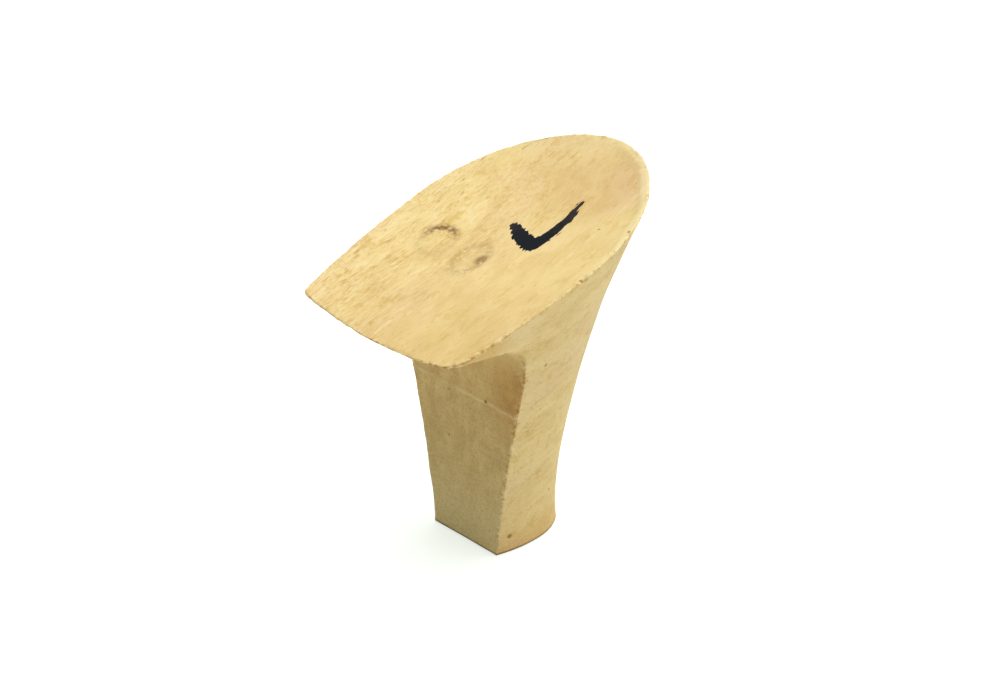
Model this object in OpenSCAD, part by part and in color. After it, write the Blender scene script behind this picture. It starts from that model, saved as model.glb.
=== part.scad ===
// Bare wooden heel block for a high-heeled shoe, standing on its tread.
// Units: mm. Origin: centre of the tread. +Z up, +Y to the back of the heel, X across it.
// The block is one loft: a stack of rows, each running from the back of the heel round both
// sides to the breast, from the tread (row 0) up to the rim of the seat (row 1).

/* [Seat] */
// Height of the back of the seat above the tread
heel_h = 75.8; // [64:0.2:92]
// Widest part of the seat
seat_w = 50; // [42:0.5:60]
// Width across the two wing tips at the front of the seat
wing_w = 43.7; // [36:0.1:50]
// How far the seat falls from its back to the wing tips
seat_drop = 19.2; // [8:0.2:30]
// How far the wing tips reach in front of the breast
wing_reach = 22.3; // [15:0.1:30]
// How far the back of the seat overhangs the back of the tread
back_reach = 21.2; // [14:0.1:28]
// Depth of the dish in the seat at its widest part
dish_depth = 3.6; // [0.5:0.1:5]

/* [Tread] */
// Length of the tread from back to breast
tread_l = 22.2; // [16:0.2:30]
// Widest part of the tread
tread_w = 21; // [15:0.2:30]
// Width of the tread along its breast edge
tread_front_w = 18.6; // [13:0.2:28]

/* [Breast] */
// Height of the wing tips above the top of the flat breast
lip_rise = 13; // [10:0.2:18]
// Radius of the scoop between the breast and the lip
scoop_r = 9.4; // [5:0.2:10]

/* [Ink mark] */
// Thickness of the ink film on the wood
ink_t = 0.1; // [0.05:0.05:0.5]
// Size of the brushed mark, from its lowest stroke to its highest
mark_l = 16; // [8:0.5:22]

/* [Hidden] */

wood = [0.90, 0.80, 0.58];
ink = [0.07, 0.09, 0.10];

// How fully the plan outline rounds the back: 2 is an ellipse, less is more pointed.
round_tread = 2.18;
round_seat = 1.96;
// How much of the length the rounded back takes up, at the tread and at the seat.
back_share_tread = 0.62;
back_share_seat = 0.5;
// How the back and the sides sweep from the tread to the seat: each is [swell, power].
back_sweep = [1.85, 1.6];
side_sweep = [1.26, 1.24];

// Steps of the loft: up the breast, round the scoop, out along the lip, from the back to the
// breast edge in plan, and across the breast.
flat_steps = 9;
scoop_steps = 8;
lip_steps = 8;
plan_steps = 26;
cross_steps = 10;

breast_y = -tread_l / 2;
tread_back_y = tread_l / 2;
seat_back_y = tread_back_y + back_reach;
wing = [breast_y - wing_reach, heel_h - seat_drop];
breast_h = wing[1] - lip_rise;

// The scoop is an arc that leaves the breast straight up and ends where its tangent runs to the
// wing tip.
scoop_y = breast_y - scoop_r;
to_wing = wing - [scoop_y, breast_h];
scoop_turn = atan2(-to_wing[0], to_wing[1]) + asin(scoop_r / norm(to_wing));
function on_scoop(a) = [scoop_y + scoop_r * cos(a), breast_h + scoop_r * sin(a)];
scoop_end = on_scoop(scoop_turn);
lip_l = norm(wing - scoop_end);
scoop_l = scoop_r * scoop_turn * PI / 180;
profile_l = breast_h + scoop_l + lip_l;

// Rows as [share of the way up, y at the breast edge, z at the breast edge].
rows = concat(
    [for (i = [0:flat_steps - 1]) let (z = breast_h * i / flat_steps)
        [z / profile_l, breast_y, z]],
    [for (i = [0:scoop_steps - 1]) let (a = scoop_turn * i / scoop_steps, p = on_scoop(a))
        [(breast_h + scoop_l * i / scoop_steps) / profile_l, p[0], p[1]]],
    [for (i = [0:lip_steps]) let (k = i / lip_steps, p = mix(scoop_end, wing, k))
        [(breast_h + scoop_l + lip_l * k) / profile_l, p[0], p[1]]]
);
last = len(rows) - 1;
scoop_from = breast_h / profile_l;

function sweep(t, how) = (1 - how[0]) * t + how[0] * pow(t, how[1]);
function mix(a, b, k) = a + (b - a) * k;
function ease(k) = k * k * (3 - 2 * k);

// In front of its rounded back the outline draws in, gently at first, to wing_w on the seat and to
// tread_front_w on the tread.
seat_l = seat_back_y - wing[0];
seat_round_l = back_share_seat * seat_l;
tread_round_l = back_share_tread * tread_l;
function draw_in(from_w, to_w, length) = (from_w - to_w) / 2 / (length * length);
seat_draw_in = draw_in(seat_w, wing_w, seat_l - seat_round_l);
tread_draw_in = draw_in(tread_w, tread_front_w, tread_l - tread_round_l);

// Half of one row, on the +X side: f runs from 0 at the back to 1 at the breast edge.
function half_row(row, f) =
    let (
        t = row[0],
        back = mix(tread_back_y, seat_back_y, sweep(t, back_sweep)),
        half_w = mix(tread_w, seat_w, sweep(t, side_sweep)) / 2,
        long = back - row[1],
        round_l = min(mix(tread_round_l, seat_round_l, sweep(t, back_sweep)), 0.95 * long),
        power = 2 / mix(round_tread, round_seat, t),
        turn = min(2 * f, 1) * 90,
        side = max(2 * f - 1, 0) * (long - round_l),
        from_back = round_l * (1 - pow(cos(turn), power)) + side,
        x = half_w * pow(sin(turn), power) - mix(tread_draw_in, seat_draw_in, t) * side * side
    )
    [x, back - from_back, mix(heel_h * t, row[2], from_back / long)];

// The dish follows the width of the seat, so it fades out at the back.
function dish(x) = dish_depth * pow(2 * x / seat_w, 2);

// Across the breast the row is straight, then takes up the curve of the seat under the lip.
function cross(row, s) =
    let (
        p = half_row(row, 1),
        k = ease(max(0, (row[0] - scoop_from) / (1 - scoop_from))) * (1 - s * s)
    )
    [p[0] * s, p[1], p[2] - dish(p[0]) * k];

// One closed ring: back, right side, breast from right to left, left side.
ring_n = 2 * plan_steps + cross_steps;
function ring(row) = concat(
    [for (j = [0:plan_steps]) half_row(row, j / plan_steps)],
    [for (j = [1:cross_steps - 1]) cross(row, 1 - 2 * j / cross_steps)],
    [for (j = [plan_steps:-1:1]) let (p = half_row(row, j / plan_steps)) [-p[0], p[1], p[2]]]
);

// The seat: rows across it, from the back (a point) to the lip.
function seat_row(f) =
    let (p = half_row(rows[last], f))
    [for (k = [0:cross_steps]) let (s = 1 - 2 * k / cross_steps)
        [p[0] * s, p[1], p[2] - dish(p[0]) * (1 - s * s)]];

// Index of seat point (row j, place k). The rim is shared with the top ring.
seat_first = ring_n * (last + 1);
top_first = ring_n * last;
inside_n = cross_steps - 1;
function seat_at(j, k) =
    j == 0 ? top_first
    : k == 0 ? top_first + j
    : k == cross_steps ? top_first + ring_n - j
    : j == plan_steps ? top_first + plan_steps + k
    : seat_first + (j - 1) * inside_n + k - 1;

// Two triangles that make a four-sided patch.
function quad(a, b, c, d) = [[a, b, c], [a, c, d]];

module loft() {
    points = concat(
        [for (r = rows) each ring(r)],
        [for (j = [1:plan_steps - 1]) let (r = seat_row(j / plan_steps))
            for (k = [1:inside_n]) r[k]]
    );
    skin = [for (i = [0:last - 1]) for (j = [0:ring_n - 1])
        let (a = i * ring_n, b = a + ring_n, n = (j + 1) % ring_n)
        each quad(a + j, a + n, b + n, b + j)];
    seat = [for (j = [0:plan_steps - 1]) for (k = [0:cross_steps - 1])
        let (f = quad(seat_at(j, k), seat_at(j + 1, k), seat_at(j + 1, k + 1), seat_at(j, k + 1)))
        each j == 0 ? [f[0]] : f];
    polyhedron(points, concat(skin, seat, [[for (j = [ring_n - 1:-1:0]) j]]));
}

// A sheet ink_t thick that lies on the seat and follows the same facets.
module film() {
    across = cross_steps + 1;
    under = [for (j = [1:plan_steps]) each seat_row(j / plan_steps)];
    n = len(under);
    function at(j, k) = j * across + k;
    cells = [for (j = [0:plan_steps - 2]) for (k = [0:cross_steps - 1]) [j, k]];
    edge = concat(
        [for (k = [0:cross_steps - 1]) at(0, k)],
        [for (j = [0:plan_steps - 2]) at(j, cross_steps)],
        [for (k = [cross_steps:-1:1]) at(plan_steps - 1, k)],
        [for (j = [plan_steps - 1:-1:1]) at(j, 0)]
    );
    polyhedron(
        [each under, for (p = under) p + [0, 0, ink_t]],
        [
            for (c = cells) let (j = c[0], k = c[1])
                each quad(at(j, k), at(j, k + 1), at(j + 1, k + 1), at(j + 1, k)),
            for (c = cells) let (j = c[0], k = c[1])
                each quad(n + at(j, k), n + at(j + 1, k), n + at(j + 1, k + 1), n + at(j, k + 1)),
            for (i = [0:len(edge) - 1]) let (a = edge[i], b = edge[(i + 1) % len(edge)])
                each quad(a, n + a, n + b, b)
        ]
    );
}

// A brush stroke through places given as [x, y, radius].
module stroke(places)
    for (i = [1:len(places) - 1])
        hull() for (p = [places[i - 1], places[i]]) translate([p[0], p[1]]) circle(p[2], $fn = 24);

module heel_block() {
    color(wood)
    intersection() {
        loft();
        // Keeps the tread dead flat.
        translate([-seat_w, -seat_l, 0]) cube([2 * seat_w, 2 * seat_l, 2 * heel_h]);
    }
}

// A brushed tick, with no meaning as a letter or a number. It is drawn drawn_l long and scaled to
// mark_l.
mark_x = 2.6;
mark_y = 7.4;
drawn_l = 16;
tick = [
    [-5.3, -2, 1.1], [-1.5, -3.6, 1.7], [2.2, -4.5, 2], [3.2, -0.5, 1.5], [3.4, 4, 1.1], [2.4, 8.8, 0.7]
];

module ink_mark() {
    color(ink)
    intersection() {
        film();
        translate([mark_x, mark_y, 0])
        linear_extrude(2 * heel_h)
        scale(mark_l / drawn_l)
        stroke(tick);
    }
}

heel_block();
ink_mark();
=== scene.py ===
"""Looks of a bare wooden heel block: pale hardwood carved by machine and rasp, with a brushed
ink mark and old ring stains on its seat. All sizes are in metres unless a name says mm."""

import math

import bmesh
import bpy
import numpy as np
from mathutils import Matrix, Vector, kdtree, noise
from mathutils.bvhtree import BVHTree


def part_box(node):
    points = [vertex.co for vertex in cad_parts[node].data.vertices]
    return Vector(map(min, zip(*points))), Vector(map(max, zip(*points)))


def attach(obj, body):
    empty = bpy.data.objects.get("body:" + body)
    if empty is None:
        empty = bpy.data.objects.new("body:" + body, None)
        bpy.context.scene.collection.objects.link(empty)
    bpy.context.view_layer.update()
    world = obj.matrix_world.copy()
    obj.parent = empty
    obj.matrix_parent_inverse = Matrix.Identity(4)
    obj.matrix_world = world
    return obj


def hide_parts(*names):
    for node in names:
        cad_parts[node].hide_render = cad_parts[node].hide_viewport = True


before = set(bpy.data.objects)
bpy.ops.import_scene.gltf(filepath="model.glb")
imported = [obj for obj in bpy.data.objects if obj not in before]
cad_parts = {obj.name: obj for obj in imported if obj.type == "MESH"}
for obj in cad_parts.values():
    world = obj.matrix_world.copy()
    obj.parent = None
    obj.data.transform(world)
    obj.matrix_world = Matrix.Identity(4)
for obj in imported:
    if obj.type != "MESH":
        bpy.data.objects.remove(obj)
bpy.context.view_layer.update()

MM = 0.001
block_low, block_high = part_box("heel_block")

# ---------------------------------------------------------------- camera
aim = Vector((0.0, 4.64, 40.37)) * MM
stand_off = 493 * MM
turn, rise = math.radians(46.30), math.radians(27.96)
back = Vector((math.sin(turn) * math.cos(rise), -math.cos(turn) * math.cos(rise), math.sin(rise)))
camera = bpy.data.objects.new("camera", bpy.data.cameras.new("camera"))
camera.data.lens = 88.15
camera.data.shift_x, camera.data.shift_y = -0.0208, -0.0103
camera.data.clip_start, camera.data.clip_end = 0.01, 20
camera.location = aim + back * stand_off
camera.rotation_mode = "QUATERNION"
camera.rotation_quaternion = (-back).to_track_quat("-Z", "Y")
bpy.context.scene.collection.objects.link(camera)
bpy.context.scene.camera = camera

# ---------------------------------------------------------------- sizes of the block, in mm
heel_h = block_high.z / MM
seat_w = (block_high.x - block_low.x) / MM
seat_back_y = block_high.y / MM
wing_y = block_low.y / MM
wing_w = 43.7
seat_drop = 19.2
dish_depth = 3.6
tread_l, tread_w, tread_front_w = 22.2, 21.0, 18.6
lip_rise, scoop_r = 13.0, 9.4
round_tread, round_seat = 2.18, 1.96
back_share_tread, back_share_seat = 0.62, 0.5
back_sweep, side_sweep = (1.85, 1.6), (1.26, 1.24)      # share and power of each curve

breast_y = -tread_l / 2
wing = np.array([wing_y, heel_h - seat_drop])
breast_h = wing[1] - lip_rise
to_wing = wing - [breast_y - scoop_r, breast_h]
scoop_turn = math.atan2(-to_wing[0], to_wing[1]) + math.asin(scoop_r / np.hypot(*to_wing))
scoop_l = scoop_r * scoop_turn
scoop_end = np.array([breast_y - scoop_r + scoop_r * math.cos(scoop_turn),
                      breast_h + scoop_r * math.sin(scoop_turn)])
lip_l = np.hypot(*(wing - scoop_end))
profile_l = breast_h + scoop_l + lip_l
seat_l = seat_back_y - wing_y
grain_tilt = math.atan2(seat_drop, seat_l)


def mix(a, b, k):
    """a where k is 0 and b where k is 1."""
    return a + (b - a) * k


def ease(k):
    """0 below 0, 1 above 1, and smooth between."""
    k = np.clip(k, 0, 1)
    return k * k * (3 - 2 * k)


def sweep(t, how):
    """How far a side has swung out at a share t of the way up: slowly at first, then faster."""
    share, power = how
    return (1 - share) * t + share * t ** power


def breast_line(t):
    """y and z of the breast edge at a share t of the way from the tread to the wing tip."""
    run = t * profile_l
    angle = np.clip(run - breast_h, 0, scoop_l) / scoop_r
    out = np.clip((run - breast_h - scoop_l) / lip_l, 0, 1)
    y = breast_y - scoop_r * (1 - np.cos(angle)) + out * (wing[0] - scoop_end[0])
    z = np.minimum(run, breast_h) + scoop_r * np.sin(angle) + out * (wing[1] - scoop_end[1])
    return y, z


def half_row(t, f):
    """A point on the +X side: t runs up from tread to rim, f round from the back to the breast."""
    edge_y, edge_z = breast_line(t)
    h = sweep(t, back_sweep)
    rear = mix(tread_l / 2, seat_back_y, h)
    half_w = mix(tread_w, seat_w, sweep(t, side_sweep)) / 2
    long = rear - edge_y
    round_l = np.minimum(mix(back_share_tread * tread_l, back_share_seat * seat_l, h), 0.95 * long)
    power = 2 / mix(round_tread, round_seat, t)
    angle = np.clip(2 * f, 0, 1) * math.pi / 2
    side = np.clip(2 * f - 1, 0, 1) * (long - round_l)
    from_back = round_l * (1 - np.maximum(np.cos(angle), 0) ** power) + side
    draw_in = mix((tread_w - tread_front_w) / 2 / (tread_l * (1 - back_share_tread)) ** 2,
                  (seat_w - wing_w) / 2 / (seat_l * (1 - back_share_seat)) ** 2, t)
    x = half_w * np.maximum(np.sin(angle), 0) ** power - draw_in * side * side
    return x, rear - from_back, mix(heel_h * t, edge_z, from_back / long)


def dish(x):
    """How deep the dish of the seat is below the edge, for an edge at x."""
    return dish_depth * (2 * x / seat_w) ** 2


def across_row(t, s):
    """A point on the breast or under the lip: s runs from -1 to 1 across the heel."""
    x, y, z = half_row(t, 1.0)
    curve = ease((t - breast_h / profile_l) / (1 - breast_h / profile_l)) * (1 - s * s)
    return x * s, y, z - dish(x) * curve


def seat_point(f, s):
    """A point on the seat: f runs from the back to the front edge, s from -1 to 1 across."""
    x, y, z = half_row(1.0, f)
    return x * s, y, z - dish(x) * (1 - s * s)


# ---------------------------------------------------------------- the block's skin
plan_n, cross_n = 200, 80
ring_n = 2 * plan_n + cross_n
rim_t = 0.4                     # the rim of the seat is blunt by this much
blunt_rows = 5                  # rows of points up the blunt rim
cut_h = 34.6                    # where the cutter for the scoop left off on the breast


def close_in(steps):
    """0..1 in steps that get fine towards both ends."""
    return 0.5 - 0.5 * np.cos(np.linspace(0, np.pi, steps))


def close_out(steps):
    """0..1 in steps that get fine towards the far end."""
    return np.sin(np.linspace(0, np.pi / 2, steps))


def skin_rows():
    """Each row of the loft as its share of the way up and how far it is lowered. The rows are fine
    where the tread, the cut line, the scoop and the rim need them."""
    cut, flat, scoop = (h / profile_l for h in (cut_h, breast_h, breast_h + scoop_l))
    up = np.concatenate([cut * close_in(40),
                         mix(cut, flat, close_in(14))[1:],
                         mix(flat, scoop, close_in(22))[1:],
                         mix(scoop, 1, close_out(26))[1:]])
    lowered = rim_t * ease((up - 0.7) / 0.3)
    blunt = rim_t * (1 - np.linspace(0, 1, blunt_rows + 1)[1:])
    return list(zip(up, lowered)) + [(1.0, low) for low in blunt]


def round_tips(points):
    """Rounds the wing tips in plan: inside a corner, squares about its centre become circles."""
    front_l = (1 - back_share_seat) * seat_l
    for side, r in ((1, 3.6), (-1, 0.9)):
        x, y = points[:, 0] * side, points[:, 1]
        edge = seat_w / 2 - (seat_w - wing_w) / 2 * (1 - (y - wing_y) / front_l) ** 2
        a, b = r - (y - wing_y), r - (edge - x)
        near = (a > 0) & (b > 0)
        k = np.where(near, np.maximum(a, b) / np.maximum(np.hypot(a, b), 1e-9), 1)
        points[:, 0] = np.where(near, side * (edge - r + b * k), points[:, 0])
        points[:, 1] = np.where(near, wing_y + r - a * k, y)


def skin():
    """One closed mesh: the rows of the loft, a dished cap for the seat and a flat one below."""
    f = np.concatenate([np.linspace(0, 0.5, plan_n // 2 + 1),
                        0.5 + 0.5 * close_out(plan_n // 2 + 1)[1:]])
    s = np.cos(np.linspace(0, np.pi, cross_n + 1))
    rows = skin_rows()
    points, faces = [], []
    for t, lowered in rows:
        side = np.stack(half_row(t, f), -1)
        front = np.array([across_row(t, k) for k in s[1:-1]])
        ring = np.concatenate([side, front, (side * [-1, 1, 1])[:0:-1]])
        points.append(ring - [0, 0, lowered])
    for i in range(len(rows) - 1):
        for j in range(ring_n):
            a, b, n = i * ring_n, (i + 1) * ring_n, (j + 1) % ring_n
            faces.append((b + j, b + n, a + n, a + j))
    count = len(rows) * ring_n

    def cap(first, level, flip):
        """Closes the ring that starts at point first, with rows across it from the back."""
        nonlocal count
        rows_at = count
        for j in range(1, plan_n):
            x, y, z = half_row(level, f[j])
            points.append(np.array([seat_point(f[j], k) if level == 1 else (x * k, y, z)
                                    for k in s[1:-1]]))
            count += cross_n - 1

        def at(j, k):
            if j == 0:
                return first
            if k == 0:
                return first + j
            if k == cross_n:
                return first + ring_n - j
            return first + plan_n + k if j == plan_n else rows_at + (j - 1) * (cross_n - 1) + k - 1

        for j in range(plan_n):
            for k in range(cross_n):
                patch = [at(j, k), at(j, k + 1), at(j + 1, k + 1), at(j + 1, k)]
                patch = patch[1:] if j == 0 else patch
                faces.append(tuple(patch[::-1] if flip else patch))

    cap((len(rows) - 1) * ring_n, 1.0, False)
    cap(0, 0.0, True)
    points = np.concatenate(points)
    round_tips(points)
    mesh = bpy.data.meshes.new("heel_block_skin")
    mesh.from_pydata((points * MM).tolist(), [], faces)
    mesh.validate()
    mark_seat(mesh, len(rows))
    return mesh


def mark_seat(mesh, row_count):
    """Writes where the seat is, for the finish to read: 1 on the seat and a little less on its rim."""
    sides, on_rim = ring_n * row_count, 0.7
    seat = np.zeros(len(mesh.vertices), np.float32)
    seat[sides:sides + (plan_n - 1) * (cross_n - 1)] = 1
    seat[sides - ring_n:sides] = on_rim
    write(mesh, "seat", seat)


def write(mesh, name, values):
    """Stores one number for each point of a mesh."""
    mesh.attributes.new(name, "FLOAT", "POINT").data.foreach_set("value", np.array(values, np.float32))


# ---------------------------------------------------------------- carving: soft edges and tool marks
rim_reach, foot_reach = 0.5, 0.42           # how far from an edge its rounding starts, in mm
arris_reach, shoulder_reach = 0.45, 2.2
sharp = math.radians(26)                    # a fold beyond this is an edge
tread_z = 0.01                              # what faces down below this height is the tread


def wander(p, size, seed):
    """Smooth noise from -1 to 1 that changes over a size in mm."""
    return noise.noise(p / (size * MM) + Vector((seed * 7.3, seed * 3.1, seed * 5.7)))


def bump_at(distance, reach):
    """1 at the middle, falling smoothly to 0 at reach."""
    return max(0.0, 1 - (distance / reach) ** 2) ** 2


def tree_of(places):
    """A search tree over places, which gives the number of each one found."""
    tree = kdtree.KDTree(len(places))
    for n, place in enumerate(places):
        tree.insert(place, n)
    tree.balance()
    return tree


class Creases:
    """The sharp edges of the block that pass a test, each point with its place, outward direction
    and fold."""

    def __init__(self, bm, wanted):
        folds = {}
        for e in bm.edges:
            fold = e.calc_face_angle(0)
            if fold > sharp and all(wanted(v) for v in e.verts):
                for v in e.verts:
                    folds[v.index] = max(folds.get(v.index, 0), fold)
        bm.verts.ensure_lookup_table()
        self.points = [(bm.verts[i].co.copy(), bm.verts[i].normal.copy(), folds[i])
                       for i in sorted(folds)]
        self.tree = tree_of([place for place, _, _ in self.points])

    def nearest(self, p):
        """The nearest point's place, outward direction and fold, and how far off it is in mm."""
        place, n, d = self.tree.find(p)
        return place, self.points[n][1], self.points[n][2], d / MM


class Knocks:
    """Small knocks as place, size and depth: the two largest are given and the rest fall by
    chance along the rim."""

    def __init__(self, rim, rng):
        self.made = [(rim.nearest(Vector((24.9, -2.7, 65.3)) * MM)[0], 1.5, 0.7),
                     (Vector((14.7, 11.7, 68.0)) * MM, 0.55, 0.16)]
        for n in rng.choice(len(rim.points), 60, replace=False):
            self.made.append((rim.points[n][0], rng.uniform(0.5, 1.3), rng.uniform(0.05, 0.16)))
        self.tree = tree_of([place for place, _, _ in self.made])
        self.widest = max(size for _, size, _ in self.made)

    def push(self, p, out, rim_out, d):
        """How the knocks near a point d mm from the rim push it in."""
        pushed = Vector()
        for _, n, gap in self.tree.find_range(p, self.widest * MM):
            _, size, depth = self.made[n]
            pushed -= (rim_out if d < size else out) * depth * bump_at(gap / MM, size)
        return pushed


def eased(out, fold, d, reach):
    """How far a point d mm from a crease moves, in mm, to round the crease over that reach."""
    return out * -math.sin(fold / 2) * max(0.0, reach - d) ** 2 / (2 * reach)


def arris_points():
    """The points of the new skin that are on an edge between the breast and a side."""
    below_rim = len(skin_rows()) - blunt_rows - 1
    return {ring * ring_n + column for ring in range(below_rim) for column in (plan_n, plan_n + cross_n)}


def ease_arris(p, arris, up):
    """How a point moves to ease the arris, and how far from it the point is. The arris is crisp
    beside the breast and opens into a soft shoulder round the scoop. It wanders in and out: the
    right one swells above the cut line and dips below it."""
    place, out, fold, off = arris.nearest(p)
    height = place.z / MM
    reach = mix(arris_reach, shoulder_reach, ease((height - breast_h - 2.5) / 5))
    reach *= 1 + 0.3 * wander(place, 6, 8)
    sway = 0.2 * wander(place, 7, 9)
    if p.x > 0:
        wave = math.sin((height - 33) * 2 * math.pi / 22)
        sway += 0.35 * wave * bump_at(height - 33, 13)
    return eased(out, fold, off, reach) + out * sway * bump_at(off, 4) * ease(up / 6), off


def tool_marks(p, out, up, edge, high):
    """How far cutter and rasp left a point out of true: ripple everywhere, chew beside an edge."""
    calm = 0.4 if out.y < -0.9 else 1.0
    ripple = 0.07 * wander(p, 11, 2) + 0.035 * wander(p, 4.5, 3) + 0.016 * wander(p, 1.6, 4)
    chew = bump_at(edge, 0.9) * (0.16 * wander(p, 0.9, 6) + 0.15 * wander(p, 2.2, 7))
    return (ripple * calm + chew * (1.0 if high else 0.6)) * min(1.0, up / 1.5)


def bowl_ledge(p, d):
    """How far the seat is lower than its rim round the back right, where the bowl starts a little
    way in."""
    round_back = ease((p.y / MM + 6) / 14) * ease((p.x / MM + 8) / 12)
    starts = 1.0 + 0.7 * wander(p, 4, 12) + 0.35 * wander(p, 1.5, 13)
    return 0.16 * ease((d - starts) / 2.2) * round_back


def cutter_line(p, up):
    """The fine raised line that the cutter leaves across the breast, and the shallow hollow above it."""
    above = up - cut_h - 0.35 * wander(Vector((p.x, 0, 0)), 9, 5)
    return 0.06 * bump_at(above, 0.45) - 0.05 * bump_at(above - 1.5, 1.6)


def carve(mesh):
    """Eases every sharp edge by a hand-sanded amount and lays in the marks of tools and use. Records
    how far each point is from an edge, in mm, and how squarely it shows end grain."""
    bm = bmesh.new()
    bm.from_mesh(mesh)
    bm.normal_update()
    on_arris = arris_points()
    arris = Creases(bm, lambda v: v.index in on_arris)
    rim = Creases(bm, lambda v: v.index not in on_arris)
    knocks = Knocks(rim, np.random.default_rng(11))

    from_edge, moves = [], []
    for v in bm.verts:
        p, out, up = v.co, v.normal, v.co.z / MM
        high = up > breast_h + 4
        place, rim_out, fold, d = rim.nearest(p)
        reach = (rim_reach if high else foot_reach) * (1 + 0.4 * wander(place, 5, 1))
        arris_move, off = ease_arris(p, arris, up)
        from_edge.append(min(d, off, 6.0))
        move = eased(rim_out, fold, d, reach) + arris_move * ease(d / 3)
        on_tread = out.z < -0.9 and up < tread_z
        if not on_tread:
            move += out * tool_marks(p, out, up, min(d, off), high)
        move += knocks.push(p, out, rim_out, d) * min(1.0, up)
        if out.z > 0.8 and high:
            move.z -= bowl_ledge(p, d)
        if out.y < -0.8:
            move += out * cutter_line(p, up)
        moves.append(move * MM)
    for v, move in zip(bm.verts, moves):
        v.co += move
        v.co.z = max(v.co.z, 0.0)
    bm.normal_update()
    end_grain = [ease((-v.normal.y - 0.15) / 0.5) if v.normal.z < 0.5 else 0.0 for v in bm.verts]
    bm.to_mesh(mesh)
    bm.free()
    mesh.shade_smooth()
    write(mesh, "from_edge", from_edge)
    write(mesh, "end_grain", end_grain)


def add_piece(name, mesh, node):
    piece = bpy.data.objects.new(name, mesh)
    bpy.context.scene.collection.objects.link(piece)
    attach(piece, "root")
    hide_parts(node)
    return piece


skin_mesh = skin()
carve(skin_mesh)
block = add_piece("carved_block", skin_mesh, "heel_block")

# ---------------------------------------------------------------- the brushed mark
mark_place = (2.6, 7.4)         # in mm, like everything about the mark
cell = 0.1                      # the film is built from square cells of this side
film_up, film_t = 0.02, 0.03    # how far it stands above the seat, and how thick it is
tick = [(-5.3, -2.0, 1.1), (-1.5, -3.6, 1.7), (2.2, -4.5, 2.0), (3.2, -0.5, 1.5), (3.4, 4.0, 1.1),
        (2.4, 8.8, 0.7)]


def inside_stroke(x, y):
    """How far inside the brush stroke a place is, in mm, and how wide the brush was there."""
    best, load = -9.0, 0.0
    for (ax, ay, ar), (bx, by, br) in zip(tick, tick[1:]):
        dx, dy = bx - ax, by - ay
        k = min(1.0, max(0.0, ((x - ax) * dx + (y - ay) * dy) / (dx * dx + dy * dy)))
        depth = mix(ar, br, k) - math.hypot(x - ax - k * dx, y - ay - k * dy)
        if depth > best:
            best, load = depth, mix(ar, br, k)
    return best, load


def brushed_mark(ground):
    """A thin film on the seat whose edges run out in hairs along the grain of the wood."""
    tree = BVHTree.FromObject(ground, bpy.context.evaluated_depsgraph_get())
    xs = np.arange(-7.4, 6.2, cell)
    ys = np.arange(-7.6, 10.6, cell)
    load_at = {}
    for i, x in enumerate(xs):
        for j, y in enumerate(ys):
            depth, load = inside_stroke(x, y)
            if depth < -0.9:
                continue
            hair = wander(Vector((x, y * 0.16, 0)) * MM, 0.34, 21)
            wave = wander(Vector((x, y, 0)) * MM, 1.6, 22)
            dry = max(0.0, 0.95 - load) * wander(Vector((x * 0.3, y, 0)) * MM, 0.4, 23)
            if depth + 0.62 * hair + 0.22 * wave + 0.8 * dry > 0.12:
                load_at[i, j] = load
    bm = bmesh.new()
    layer = bm.verts.layers.float.new("load")
    corners = {}

    def corner(i, j, load):
        if (i, j) not in corners:
            x = (xs[0] + (i - 0.5) * cell + mark_place[0]) * MM
            y = (ys[0] + (j - 0.5) * cell + mark_place[1]) * MM
            hit = tree.ray_cast(Vector((x, y, 0.2)), Vector((0, 0, -1)))[0]
            corners[i, j] = bm.verts.new(hit + Vector((0, 0, film_up * MM)))
            corners[i, j][layer] = load
        return corners[i, j]

    for i, j in sorted(load_at):
        bm.faces.new([corner(i + a, j + b, load_at[i, j]) for a, b in ((0, 0), (1, 0), (1, 1), (0, 1))])
    rim = [v for v in bm.verts if v.is_boundary]
    for _ in range(2):
        bmesh.ops.smooth_vert(bm, verts=rim, factor=0.5, use_axis_x=True, use_axis_y=True)
    film = bmesh.ops.extrude_face_region(bm, geom=bm.faces[:])
    for v in [g for g in film["geom"] if isinstance(g, bmesh.types.BMVert)]:
        v.co.z -= film_t * MM
    bmesh.ops.recalc_face_normals(bm, faces=bm.faces[:])
    made = bpy.data.meshes.new("brushed_mark")
    bm.to_mesh(made)
    bm.free()
    made.shade_smooth()
    return made


mark = add_piece("brushed_mark", brushed_mark(block), "ink_mark")


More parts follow.
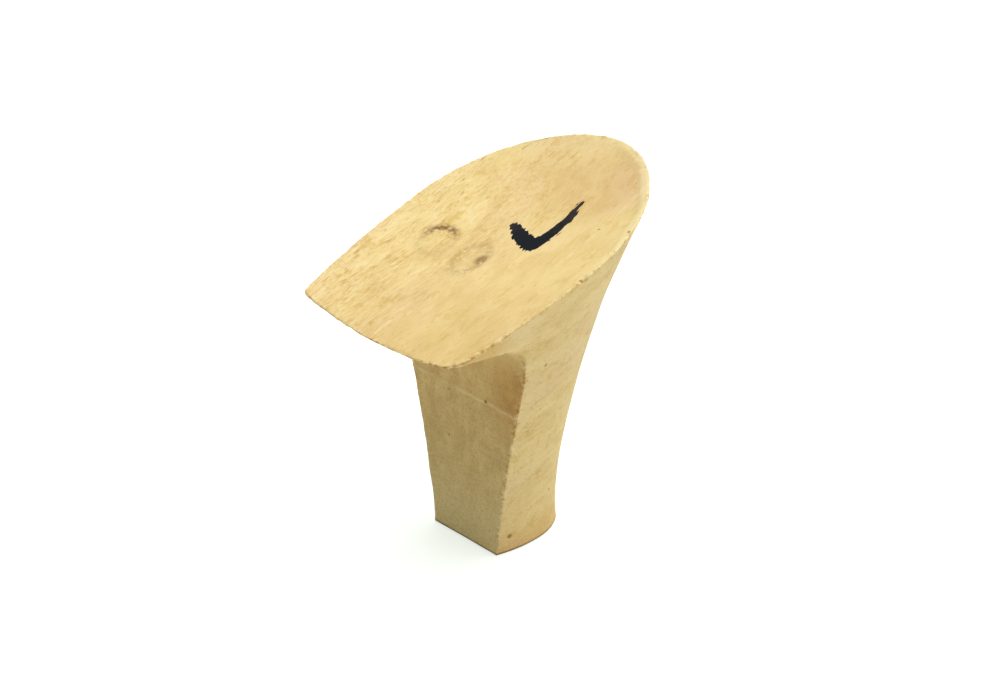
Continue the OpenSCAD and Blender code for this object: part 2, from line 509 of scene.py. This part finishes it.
# ---------------------------------------------------------------- finishes
class Wire:
    """A socket in a finish, so that shader maths reads as plain arithmetic on values."""

    def __init__(self, tree, socket):
        self.tree, self.socket = tree, socket

    def node(self, kind, settings, sockets, out=0):
        """Adds any node: its settings first, then the value or the link of each socket."""
        made = self.tree.nodes.new(kind)
        for name, value in settings.items():
            setattr(made, name, value)
        for name, value in sockets.items():
            if isinstance(value, Wire):
                self.tree.links.new(value.socket, made.inputs[name])
            else:
                made.inputs[name].default_value = value
        return Wire(self.tree, made.outputs[out])

    def maths(self, operation, *values):
        return self.node("ShaderNodeMath", {"operation": operation}, dict(enumerate(values)))

    def __add__(self, other):
        return self.maths("ADD", self, other)

    __radd__ = __add__

    def __sub__(self, other):
        return self.maths("SUBTRACT", self, other)

    def __rsub__(self, other):
        return self.maths("SUBTRACT", other, self)

    def __mul__(self, other):
        return self.maths("MULTIPLY", self, other)

    __rmul__ = __mul__

    def __truediv__(self, other):
        return self.maths("DIVIDE", self, other)

    def __abs__(self):
        return self.maths("ABSOLUTE", self)

    def hypot(self, other):
        return self.maths("SQRT", self * self + other * other)

    def larger(self, other):
        return self.maths("MAXIMUM", self, other)

    def exp(self):
        return self.maths("EXPONENT", self)

    def rises(self, low, high):
        """0 below low, 1 above high, and smooth between."""
        return self.node("ShaderNodeMapRange", {"interpolation_type": "SMOOTHSTEP"},
                         {"Value": self, "From Min": low, "From Max": high})

    def stretched(self, x, y, z):
        """A place with its three directions scaled."""
        return self.node("ShaderNodeVectorMath", {"operation": "MULTIPLY"}, {0: self, 1: (x, y, z)})

    def speckle(self, size, detail=2.0, rough=0.5, warp=0.0):
        """Noise from 0 to 1 over features of that size."""
        return self.node("ShaderNodeTexNoise", {},
                         {"Vector": self, "Scale": 1 / size, "Detail": detail,
                          "Roughness": rough, "Distortion": warp})

    def paints(self, under, over):
        """under where this is 0, over where it is 1."""
        return self.node("ShaderNodeMix", {"data_type": "RGBA"}, {0: self, 6: under, 7: over}, 2)

    def darkens(self, colour, shade):
        """colour multiplied by shade, by the amount that this gives."""
        return self.node("ShaderNodeMix", {"data_type": "RGBA", "blend_type": "MULTIPLY"},
                         {0: self, 6: colour, 7: shade}, 2)


def new_finish(name):
    material = bpy.data.materials.new(name)
    material.use_nodes = True
    tree = material.node_tree
    start = Wire(tree, None)
    place = start.node("ShaderNodeTexCoord", {}, {}, "Object").stretched(1000, 1000, 1000)
    return material, tree.nodes["Principled BSDF"], start, place


def finish_with(material, shader, colour, rough, height, strength, depth):
    """Joins a colour, a roughness and a height in mm to the shader."""
    bump = height.node("ShaderNodeBump", {},
                       {"Strength": strength, "Distance": depth * MM, "Height": height})
    for name, value in (("Base Color", colour), ("Roughness", rough), ("Normal", bump)):
        material.node_tree.links.new(value.socket, shader.inputs[name])
    return material


def rgb(r, g, b):
    """A colour given as it is seen on a screen, 0 to 255."""
    return tuple(((c / 255 + 0.055) / 1.055) ** 2.4 for c in (r, g, b)) + (1.0,)


def around(x, y, cx, cy, rx, ry):
    """0 at a centre and 1 all along an oval round it."""
    return ((x - cx) / rx).hypot((y - cy) / ry)


class Timber:
    """Each place on the block as the layers of its finish read it: where it is in mm, what was
    written there on the mesh, and the noises that more than one layer shares."""

    def __init__(self, start, place):
        self.place = place
        self.x, self.y, self.z = (start.node("ShaderNodeSeparateXYZ", {}, {0: place}, k)
                                  for k in range(3))
        self.seat, self.end_on, self.from_edge = (
            start.node("ShaderNodeAttribute", {"attribute_name": name}, {}, "Fac")
            for name in ("seat", "end_grain", "from_edge"))
        self.off_seat = 1 - self.seat
        self.grain = start.node("ShaderNodeMapping", {},
                                {"Vector": place, "Rotation": (-grain_tilt, 0, 0)})
        # The left of the seat was cut against the grain, so it is rougher and more streaked.
        self.against = (1 - self.x.rises(-16, 8)) * self.seat * (1 - self.y.rises(4, 20) * 0.7)
        self.drift = self.grain.stretched(1, 0.5, 1).speckle(6, 3, 0.6, 0.5)
        self.mottle = place.speckle(0.9, 3, 0.7)
        self.fine = self.grain.stretched(1, 0.2, 1).speckle(0.32, 3, 0.6)
        self.strands = self.grain.stretched(1, 0.13, 1).speckle(0.9, 3, 0.6)
        torn = (self.grain.stretched(1, 0.4, 1).speckle(2.4, 3, 0.65) - 0.5) * 2 + self.strands
        self.torn = torn.rises(0.62, 1.0) * (0.35 + self.against * 0.65)
        self.grit = place.speckle(0.7, 3, 0.75)
        self.pores = place.speckle(0.45, 3, 0.7)
        pits = place.stretched(1, 0.7, 0.7).speckle(1.2, 4, 0.75).rises(0.56, 0.7)
        low_down = 0.4 + (1 - abs(self.z - 27).rises(4, 16)) * 0.6
        self.pits = pits * self.off_seat * low_down


def yellow_to_tan(here):
    """Broad drifts of colour with a pinkish blush: duller to the front, pinker in the bowl."""
    blush = here.grain.stretched(1, 0.5, 1).speckle(16, 2, 0.5)
    front = (1 - here.y.rises(-30, 6)) * here.x.rises(-24, -8)
    far_left = 1 - here.x.rises(-20, -6)
    bowl = 1 - around(here.x, here.y, 5, 21, 15, 11).rises(0.4, 1.1)
    tan = here.drift.rises(0.3, 0.7).paints(rgb(245, 218, 154), rgb(236, 206, 139))
    tan = (blush.rises(0.46, 0.66) * 0.45).paints(tan, rgb(240, 209, 160))
    tan = (front * here.seat).darkens(tan, rgb(245, 241, 236))
    tan = (far_left * here.seat * 0.3).paints(tan, rgb(248, 224, 158))
    return (bowl * here.seat * 0.9).darkens(tan, rgb(247, 238, 236))


def fibres(here, tan):
    """Short lines and veins along the grain, some dark and some pale, and soft golden blots."""
    pale = here.grain.stretched(1, 0.11, 1).speckle(0.55, 3, 0.65)
    vein = here.grain.stretched(1, 0.07, 1).speckle(1.1, 4, 0.7)
    vein = (1 - abs(vein - 0.5).rises(0, 0.03)) * here.drift.rises(0.42, 0.58)
    blot = here.grain.stretched(1, 0.45, 1).speckle(2.6, 4, 0.75)
    rougher = here.against
    tan = (here.strands.rises(0.48, 0.74) * (0.13 + rougher * 0.12)).darkens(tan, rgb(224, 198, 150))
    tan = (here.fine.rises(0.46, 0.68) * (0.15 + rougher * 0.2)).darkens(tan, rgb(220, 196, 150))
    tan = (pale.rises(0.52, 0.72) * (0.12 + rougher * 0.4)).paints(tan, rgb(254, 236, 180))
    tan = (vein * (0.12 + rougher * 0.38)).darkens(tan, rgb(212, 178, 112))
    return (blot.rises(0.54, 0.64) * (0.4 + rougher * 0.25)).darkens(tan, rgb(234, 217, 160))


def flecks(here, tan):
    """Ray flecks, short brown lens shapes that are thickest along the far side of the seat, and pale
    crumbs on the sides."""
    far_side = (1 - here.x.rises(-21, -12)) * here.seat
    fleck = here.grain.stretched(1, 0.14, 1).speckle(0.5, 2, 0.6) + far_side * 0.02
    crumb = here.place.speckle(0.55, 3, 0.7).rises(0.6, 0.74) * here.off_seat
    tan = (fleck.rises(0.63, 0.74) * (0.3 + far_side * 0.5)).darkens(tan, rgb(184, 148, 84))
    return (crumb * 0.4).paints(tan, rgb(253, 238, 192))


def scraped(here, across, sway, half_w):
    """1 along a line down the seat where the sander ran, swaying with the strands."""
    return 1 - (abs(here.x - across + here.strands * sway) / half_w).rises(0.2, 1)


def seat_patches(here, tan):
    """On the seat: a golden patch on the far side, a painted highlight in a pale strip round the back
    right of the bowl, two pale scrapes, and torn grain."""
    golden = 1 - around(here.x, here.y, -11, 15, 10, 9).rises(0.4, 1.1)
    golden = golden * here.seat * here.mottle.rises(0.4, 0.65)
    tan = (golden * 0.42).darkens(tan, rgb(238, 216, 156))
    # Painted highlight: a pale strip along the flat rim round the back right of the bowl.
    inwards = here.from_edge + (here.drift - 0.5) * 3 + (here.mottle - 0.5) * 1.6
    bowl_rim_highlight = (1 - inwards.rises(0.9, 1.9)) * here.y.rises(-4, 8) * here.x.rises(-6, 6) * here.seat
    tan = (bowl_rim_highlight * (0.3 + here.mottle * 0.5)).paints(tan, rgb(254, 236, 180))
    right = scraped(here, 15.9, 1.4, 0.9) * here.y.rises(-4, 3)
    middle = scraped(here, -1.6, 1.2, 0.6) * (1 - here.y.rises(-24, -20))
    scrape = right.larger(middle) * here.seat * here.strands.rises(0.4, 0.6)
    tan = (scrape * 0.5).paints(tan, rgb(253, 234, 186))
    return (here.torn * 0.45).paints(tan, rgb(252, 234, 184))


def rasped(here, tan):
    """Grit and pits that the rasp left on the sides, most of them low down."""
    tan = (here.grit.rises(0.5, 0.7) * here.off_seat * 0.3).darkens(tan, rgb(222, 198, 140))
    return (here.pits * 0.5).darkens(tan, rgb(222, 194, 130))


def breast(here):
    """End grain: browner and mottled, with painted light at the foot that offsets shade near the floor,
    a brown patch near the right edge that is partly the wood's colour and partly painted shade in the
    scoop, and a painted highlight along the raised line where the cutter stopped."""
    patches = here.place.stretched(1, 1, 0.7).speckle(3.6, 3, 0.65)
    combed = here.place.stretched(0.1, 1, 1).speckle(1.1, 3, 0.65)
    # Brown patch near the right edge: partly the wood's colour, partly painted shade where the scoop is
    # hollow.
    brown_patch_and_shade = 1 - (around(here.x, here.z, 16, 38, 11, 13) + (patches - 0.5) * 0.8).rises(0.1, 1.1)
    # Painted highlight along the raised line the cutter left.
    off_line = abs(here.z - cut_h - (patches - 0.5) * 1.6)
    cutter_ridge_highlight = (1 - off_line.rises(0.1, 0.6)) * here.mottle.rises(0.34, 0.56)
    brown = patches.rises(0.3, 0.7).paints(rgb(219, 190, 127), rgb(201, 169, 107))
    # Painted light: the foot is made paler to offset the shade near the floor.
    brown = ((1 - here.z.rises(2, 24)) * 0.8).paints(brown, rgb(226, 204, 146))
    brown = (here.pores.rises(0.44, 0.7) * 0.45).darkens(brown, rgb(208, 178, 126))
    brown = (combed.rises(0.52, 0.7) * patches * 0.4).paints(brown, rgb(230, 202, 142))
    brown = (brown_patch_and_shade * (0.5 + patches * 0.4)).darkens(brown, rgb(222, 192, 138))
    return (cutter_ridge_highlight * 0.42).paints(brown, rgb(238, 214, 160))


def ring_stains(here):
    """Two old ring stains, darkest on the far arc, and a dark drop inside the right one."""
    blotch = here.place.speckle(0.9, 3, 0.65)
    wobble = (here.mottle - 0.5) * 0.35
    left_x, left_y = -12.4, -6.4
    left = around(here.x, here.y, left_x, left_y, 3.3, 4.0) + wobble
    far_arc = ((here.y - left_y) * 0.22 - (here.x - left_x) * 0.12).rises(-0.1, 0.9)
    left = (1 - (abs(left - 1) / 0.42).rises(0, 1)) * (0.22 + far_arc)
    right = around(here.x, here.y, -3.1, -6.1, 3.0, 4.4) + wobble
    smudge = (1 - right.rises(0.7, 1.1)) * 0.16
    right = ((1 - (abs(right - 1) / 0.45).rises(0, 1)) * 0.45).larger(smudge)
    drop = 1 - (around(here.x, here.y, -0.9, -5.2, 1.6, 2.4) + wobble).rises(0.35, 1)
    stain = left.larger(right) * blotch.rises(0.3, 0.58) * 0.9
    return stain.larger(drop * blotch.rises(0.2, 0.5) * 0.85) * here.seat


# The pin specks: the place and the size of each.
pin_specks = (((24.4, -2.9, 65.0), 0.7), ((22.3, 12.0, 69.6), 0.5), ((14.7, 11.5, 67.9), 0.5),
              ((-4.3, -11.1, 33.5), 0.5), ((6.5, -11.1, 34.8), 0.6), ((-4.5, -11.1, 22.8), 0.4),
              ((10.3, -8.3, 4.1), 0.85), ((11.0, 2.0, 11.2), 0.45), ((18.3, -6.2, 45.8), 0.55))


def specks(here):
    """1 inside each pin speck, falling to 0 at its edge."""
    dark = 0.0
    for (x, y, z), size in pin_specks:
        off = (here.x - x).hypot(here.y - y).hypot(here.z - z)
        dark = (1 - (off / size).rises(0.3, 1)).larger(dark)
    return dark * here.mottle.rises(0.25, 0.55)


def wear_and_painted_light(here, wood):
    """Painted shade under the wings, the foot darker and warmer towards the bottom with a dark edge that
    is partly dirt and partly painted contact shadow, and in stretches a chewed rim of pale crumbs,
    partly painted highlight, with brown between them."""
    # Painted shade on the sides under the wings.
    under_wing_shade = 1 - around(here.y, here.z, -27, 55.5, 11, 6).rises(0.3, 1.1)
    wood = (under_wing_shade * here.off_seat * 0.55).darkens(wood, rgb(234, 216, 158))
    # Darker and warmer towards the bottom, less on the end grain.
    wood = ((1 - here.z.rises(0, 11)) * (0.35 - here.end_on * 0.3)).darkens(wood, rgb(240, 212, 166))
    # Dark edge at the foot: partly dirt, partly painted contact shadow.
    wood = ((1 - here.z.rises(0.25, 0.9)) * 0.85).darkens(wood, rgb(152, 122, 78))
    # The pale crumbs along the edges are partly worn wood and partly painted highlight; the brown
    # between them is darker wood.
    rim = (here.from_edge * -1.7).exp() * here.z.rises(1, 4)
    rim = rim * here.place.speckle(5, 2, 0.5).rises(0.3, 0.55)
    crumbs = here.place.speckle(1.0, 4, 0.75)
    wood = (rim * crumbs.rises(0.48, 0.62) * 0.7).paints(wood, rgb(254, 236, 186))
    return (rim * (1 - crumbs.rises(0.36, 0.5)) * 0.85).darkens(wood, rgb(206, 158, 96))


def bare_wood():
    """Pale hardwood, raw and finely sanded."""
    material, shader, start, place = new_finish("bare_hardwood")
    here = Timber(start, place)
    tan = flecks(here, fibres(here, yellow_to_tan(here)))
    tan = rasped(here, seat_patches(here, tan))
    wood = here.end_on.paints(tan, breast(here))
    wood = ring_stains(here).darkens(wood, rgb(156, 134, 110))
    wood = (specks(here) * 0.85).darkens(wood, rgb(158, 116, 62))
    wood = wear_and_painted_light(here, wood)
    rough = 0.56 + here.strands * 0.12 + here.end_on * 0.12 + here.torn * 0.1
    height = (here.fine * 0.5 + here.strands * 0.4) * (0.4 + here.against * 0.6)
    height = height + here.mottle * 0.3 + here.torn * 0.4 + here.grit * here.off_seat * 0.7
    height = height + here.pores * here.end_on * 0.6 - here.pits * (1 - here.end_on) * 0.9
    shader.inputs["Specular IOR Level"].default_value = 0.3
    return finish_with(material, shader, wood, rough, height, strength=0.5, depth=0.08)


def dry_ink():
    """Brushed ink: near black where the brush was full, brown and streaked where it ran dry."""
    material, shader, start, place = new_finish("brushed_ink")
    load = start.node("ShaderNodeAttribute", {"attribute_name": "load"}, {}, "Fac")
    streaks = place.stretched(1, 0.15, 1).speckle(0.35, 3, 0.6)
    pools = place.speckle(1.4, 2, 0.5)
    full = (load + (pools - 0.5) * 0.9).rises(0.8, 1.6)
    ink = full.paints(rgb(52, 42, 42), rgb(14, 22, 28))
    ink = (streaks.rises(0.6, 0.75) * (1 - full) * 0.4).paints(ink, rgb(104, 82, 66))
    rough = 0.6 + streaks * 0.25
    shader.inputs["Specular IOR Level"].default_value = 0.15
    return finish_with(material, shader, ink, rough, streaks, strength=0.3, depth=0.05)


block.data.materials.append(bare_wood())
mark.data.materials.append(dry_ink())

# ---------------------------------------------------------------- floor and light
floor_half = 6.0                # half the side of the floor, in metres
bounce, to_white = 0.29, 0.37   # how much light the floor gives back, and more for the camera alone


def white_paper():
    """Matt paper that looks pure white, and gives the block only a little light from below."""
    material = bpy.data.materials.new("white_paper")
    material.use_nodes = True
    paper = material.node_tree.nodes["Principled BSDF"]
    paper.inputs["Base Color"].default_value = (0.62, 0.62, 0.61, 1)
    paper.inputs["Roughness"].default_value = 0.9
    paper.inputs["Specular IOR Level"].default_value = 0.0
    paper.inputs["Emission Color"].default_value = (0.92, 1.0, 0.97, 1)
    seen = Wire(material.node_tree, None).node("ShaderNodeLightPath", {}, {}, "Is Camera Ray")
    glow = bounce + seen * to_white
    material.node_tree.links.new(glow.socket, paper.inputs["Emission Strength"])
    return material


def paper_floor():
    """One flat sheet under the block."""
    sheet = bpy.data.meshes.new("floor")
    corners = [(x * floor_half, y * floor_half, 0) for x, y in ((-1, -1), (1, -1), (1, 1), (-1, 1))]
    sheet.from_pydata(corners, [], [(0, 1, 2, 3)])
    sheet.materials.append(white_paper())
    floor = bpy.data.objects.new("floor", sheet)
    bpy.context.scene.collection.objects.link(floor)
    return floor


def soft_sun(name, strength, spread, towards, tint):
    """A broad light, even everywhere, that comes from the direction given."""
    light = bpy.data.lights.new(name, "SUN")
    light.energy, light.angle, light.color = strength, math.radians(spread), tint
    lamp = bpy.data.objects.new(name, light)
    lamp.rotation_mode = "QUATERNION"
    lamp.rotation_quaternion = Vector(towards).to_track_quat("Z", "Y")
    bpy.context.scene.collection.objects.link(lamp)


def white_studio():
    """A sky that is white to the camera and lights the block dimly from all round."""
    world = bpy.data.worlds.new("studio")
    world.use_nodes = True
    sky = Wire(world.node_tree, None)
    dim = sky.node("ShaderNodeBackground", {}, {"Color": (0.9, 1.0, 0.96, 1), "Strength": 0.25})
    white = sky.node("ShaderNodeBackground", {}, {"Color": (1, 1, 1, 1), "Strength": 1.0})
    seen = sky.node("ShaderNodeLightPath", {}, {}, "Is Camera Ray")
    both = sky.node("ShaderNodeMixShader", {}, {0: seen, 1: dim, 2: white})
    world.node_tree.links.new(both.socket, world.node_tree.nodes["World Output"].inputs["Surface"])
    return world


paper_floor()
soft_sun("overhead", 3.1, 80, (0.05, 0.35, 1.0), (1.0, 0.995, 0.985))
bpy.context.scene.world = white_studio()
bpy.context.scene.view_settings.view_transform = "Standard"
